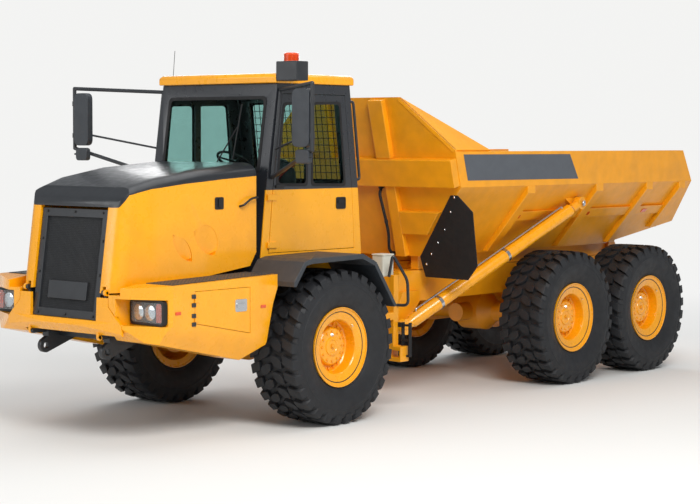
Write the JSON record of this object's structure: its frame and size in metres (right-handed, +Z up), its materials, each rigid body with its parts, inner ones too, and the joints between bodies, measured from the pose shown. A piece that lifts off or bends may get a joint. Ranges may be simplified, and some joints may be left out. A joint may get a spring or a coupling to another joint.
{
  "type": "articulated dump truck",
  "caption": "Articulated dump truck: front frame with cab, tilting hood and grille, steering hitch, rear frame on a wheel bogie, and a sloped-sided tipping bed raised by hoist cylinders.",
  "frame": {"origin": "on the ground, midway between the nose and the tail lip, on the centre plane", "axes": "-Y points out of the nose, +X to the driver's left, +Z up; the truck is steered straight"},
  "size_m": [3.48, 9.622, 3.735],
  "materials": {
    "yellow_paint": "gloss",
    "dark_paint": "satin",
    "frame_paint": "satin",
    "tyre_rubber": "matte",
    "dark_plastic": "satin",
    "glass": "clear",
    "steel": "bright",
    "cast_grey": "rough",
    "amber_lens": "gloss",
    "seat_fabric": "woven"
  },
  "bodies": {
    "front_frame": {"front_chassis": "dark_paint", "engine": "cast_grey", "radiator": "dark_plastic", "front_axle": "frame_paint", "cab_shell": "yellow_paint", "cab_roof": "yellow_paint", "cab_glass": "glass", "cab_seat": "seat_fabric", "steering_console": "dark_plastic", "fenders": "yellow_paint", "nose_corners": "yellow_paint", "mudguards": "dark_plastic", "mirror_arms": "dark_paint", "mirror_heads": "dark_plastic", "beacon_box": "dark_plastic", "beacon": "amber_lens", "cab_steps": "yellow_paint"},
    "hood": {"hood_sides": "yellow_paint", "hood_top": "dark_paint"},
    "nose_panel": {"grille_frame": "dark_paint", "nose_bumper": "yellow_paint"},
    "cab_door": {"cab_door": "yellow_paint", "door_glass": "glass"},
    "service_door_left": {"service_door_left": "yellow_paint"},
    "service_door_right": {"service_door_right": "yellow_paint"},
    "yoke": {"articulation_yoke": "frame_paint"},
    "rear_frame": {"rear_chassis": "frame_paint", "mid_axle": "frame_paint", "rear_axle": "frame_paint", "walking_beams": "frame_paint"},
    "bed": {"dump_bed": "yellow_paint"},
    "steering_barrel_left": {"steering_barrel_left": "frame_paint"},
    "steering_rod_left": {"steering_rod_left": "steel"},
    "hoist_barrel_left": {"hoist_barrel_left": "frame_paint"},
    "hoist_rod_left": {"hoist_rod_left": "steel"},
    "front_left_wheel": {"front_left_tyre": "tyre_rubber", "front_left_rim": "yellow_paint"},
    "mid_left_wheel": {"mid_left_tyre": "tyre_rubber", "mid_left_rim": "yellow_paint"},
    "rear_left_wheel": {"rear_left_tyre": "tyre_rubber", "rear_left_rim": "yellow_paint"},
    "steering_barrel_right": {"steering_barrel_right": "frame_paint"},
    "steering_rod_right": {"steering_rod_right": "steel"},
    "hoist_barrel_right": {"hoist_barrel_right": "frame_paint"},
    "hoist_rod_right": {"hoist_rod_right": "steel"},
    "front_right_wheel": {"front_right_tyre": "tyre_rubber", "front_right_rim": "yellow_paint"},
    "mid_right_wheel": {"mid_right_tyre": "tyre_rubber", "mid_right_rim": "yellow_paint"},
    "rear_right_wheel": {"rear_right_tyre": "tyre_rubber", "rear_right_rim": "yellow_paint"}
  },
  "joints": [
    {"name": "hood_tilt", "type": "hinge", "parent": "front_frame", "child": "hood", "pos_m": [0, -4.731, 1.427], "axis": [1, 0, 0], "range_deg": [0, 60]},
    {"name": "nose_drop", "type": "hinge", "parent": "front_frame", "child": "nose_panel", "pos_m": [0, -4.746, 1], "axis": [1, 0, 0], "range_deg": [0, 90]},
    {"name": "cab_door_swing", "type": "hinge", "parent": "front_frame", "child": "cab_door", "pos_m": [0.846, -2.807, 1.982], "axis": [0, 0, -1], "range_deg": [0, 75]},
    {"name": "steer", "type": "hinge", "parent": "front_frame", "child": "yoke", "pos_m": [0, -0.999, 0.915], "axis": [0, 0, 1], "range_deg": [-45, 45]},
    {"name": "frame_roll", "type": "hinge", "parent": "yoke", "child": "rear_frame", "pos_m": [0, -0.261, 0.915], "axis": [0, 1, 0], "range_deg": [-12, 12]},
    {"name": "bed_tip", "type": "hinge", "parent": "rear_frame", "child": "bed", "pos_m": [0, 3.839, 1.5], "axis": [-1, 0, 0], "range_deg": [0, 70]},
    {"name": "service_door_left_swing", "type": "hinge", "parent": "front_frame", "child": "service_door_left", "pos_m": [1.258, -4.234, 1.232], "axis": [0, 0, -1], "range_deg": [0, 90]},
    {"name": "front_left_wheel_spin", "type": "hinge", "parent": "front_frame", "child": "front_left_wheel", "pos_m": [1.178, -2.361, 0.782], "axis": [1, 0, 0], "continuous": true},
    {"name": "mid_left_wheel_spin", "type": "hinge", "parent": "rear_frame", "child": "mid_left_wheel", "pos_m": [1.178, 1.82, 0.782], "axis": [1, 0, 0], "continuous": true},
    {"name": "rear_left_wheel_spin", "type": "hinge", "parent": "rear_frame", "child": "rear_left_wheel", "pos_m": [1.178, 3.49, 0.782], "axis": [1, 0, 0], "continuous": true},
    {"name": "steering_barrel_left_swing", "type": "hinge", "parent": "front_frame", "child": "steering_barrel_left", "pos_m": [0.325, -1.899, 1.065], "axis": [0, 0, 1], "range_deg": [-4.58, 4.58]},
    {"name": "steering_rod_left_slide", "type": "slide", "parent": "steering_barrel_left", "child": "steering_rod_left", "axis": [-0.0966, 0.9953, 0], "range_m": [-0.17847, 0.17847]},
    {"name": "hoist_barrel_left_swing", "type": "hinge", "parent": "rear_frame", "child": "hoist_barrel_left", "pos_m": [0.76, -0.531, 0.803], "axis": [0.6242, -0.4558, 0.6345], "range_deg": [-0.5, 6.37]},
    {"name": "hoist_rod_left_slide", "type": "slide", "parent": "hoist_barrel_left", "child": "hoist_rod_left", "axis": [0.1887, 0.8761, 0.4438], "range_m": [-0.002, 2.11636]},
    {"name": "service_door_right_swing", "type": "hinge", "parent": "front_frame", "child": "service_door_right", "pos_m": [-1.258, -4.234, 1.232], "axis": [0, 0, 1], "range_deg": [0, 90]},
    {"name": "front_right_wheel_spin", "type": "hinge", "parent": "front_frame", "child": "front_right_wheel", "pos_m": [-1.178, -2.361, 0.782], "axis": [1, 0, 0], "continuous": true},
    {"name": "mid_right_wheel_spin", "type": "hinge", "parent": "rear_frame", "child": "mid_right_wheel", "pos_m": [-1.178, 1.82, 0.782], "axis": [1, 0, 0], "continuous": true},
    {"name": "rear_right_wheel_spin", "type": "hinge", "parent": "rear_frame", "child": "rear_right_wheel", "pos_m": [-1.178, 3.49, 0.782], "axis": [1, 0, 0], "continuous": true},
    {"name": "steering_barrel_right_swing", "type": "hinge", "parent": "front_frame", "child": "steering_barrel_right", "pos_m": [-0.325, -1.899, 1.065], "axis": [0, 0, 1], "range_deg": [-4.58, 4.58]},
    {"name": "steering_rod_right_slide", "type": "slide", "parent": "steering_barrel_right", "child": "steering_rod_right", "axis": [0.0966, 0.9953, 0], "range_m": [-0.17847, 0.17847]},
    {"name": "hoist_barrel_right_swing", "type": "hinge", "parent": "rear_frame", "child": "hoist_barrel_right", "pos_m": [-0.76, -0.531, 0.803], "axis": [0.6242, 0.4558, -0.6345], "range_deg": [-0.5, 6.37]},
    {"name": "hoist_rod_right_slide", "type": "slide", "parent": "hoist_barrel_right", "child": "hoist_rod_right", "axis": [-0.1887, 0.8761, 0.4438], "range_m": [-0.002, 2.11636]}
  ],
  "couplings": [
    {"joint": "steering_barrel_left_swing", "follows": "steer", "ratio": 0.090607},
    {"joint": "steering_rod_left_slide", "follows": "steer", "m_per_rad": 0.22469},
    {"joint": "hoist_barrel_left_swing", "follows": "bed_tip", "ratio": 0.083835},
    {"joint": "hoist_rod_left_slide", "follows": "bed_tip", "m_per_rad": 1.7306},
    {"joint": "steering_barrel_right_swing", "follows": "steer", "ratio": 0.090607},
    {"joint": "steering_rod_right_slide", "follows": "steer", "m_per_rad": -0.22469},
    {"joint": "hoist_barrel_right_swing", "follows": "bed_tip", "ratio": 0.083835},
    {"joint": "hoist_rod_right_slide", "follows": "bed_tip", "m_per_rad": 1.7306}
  ]
}
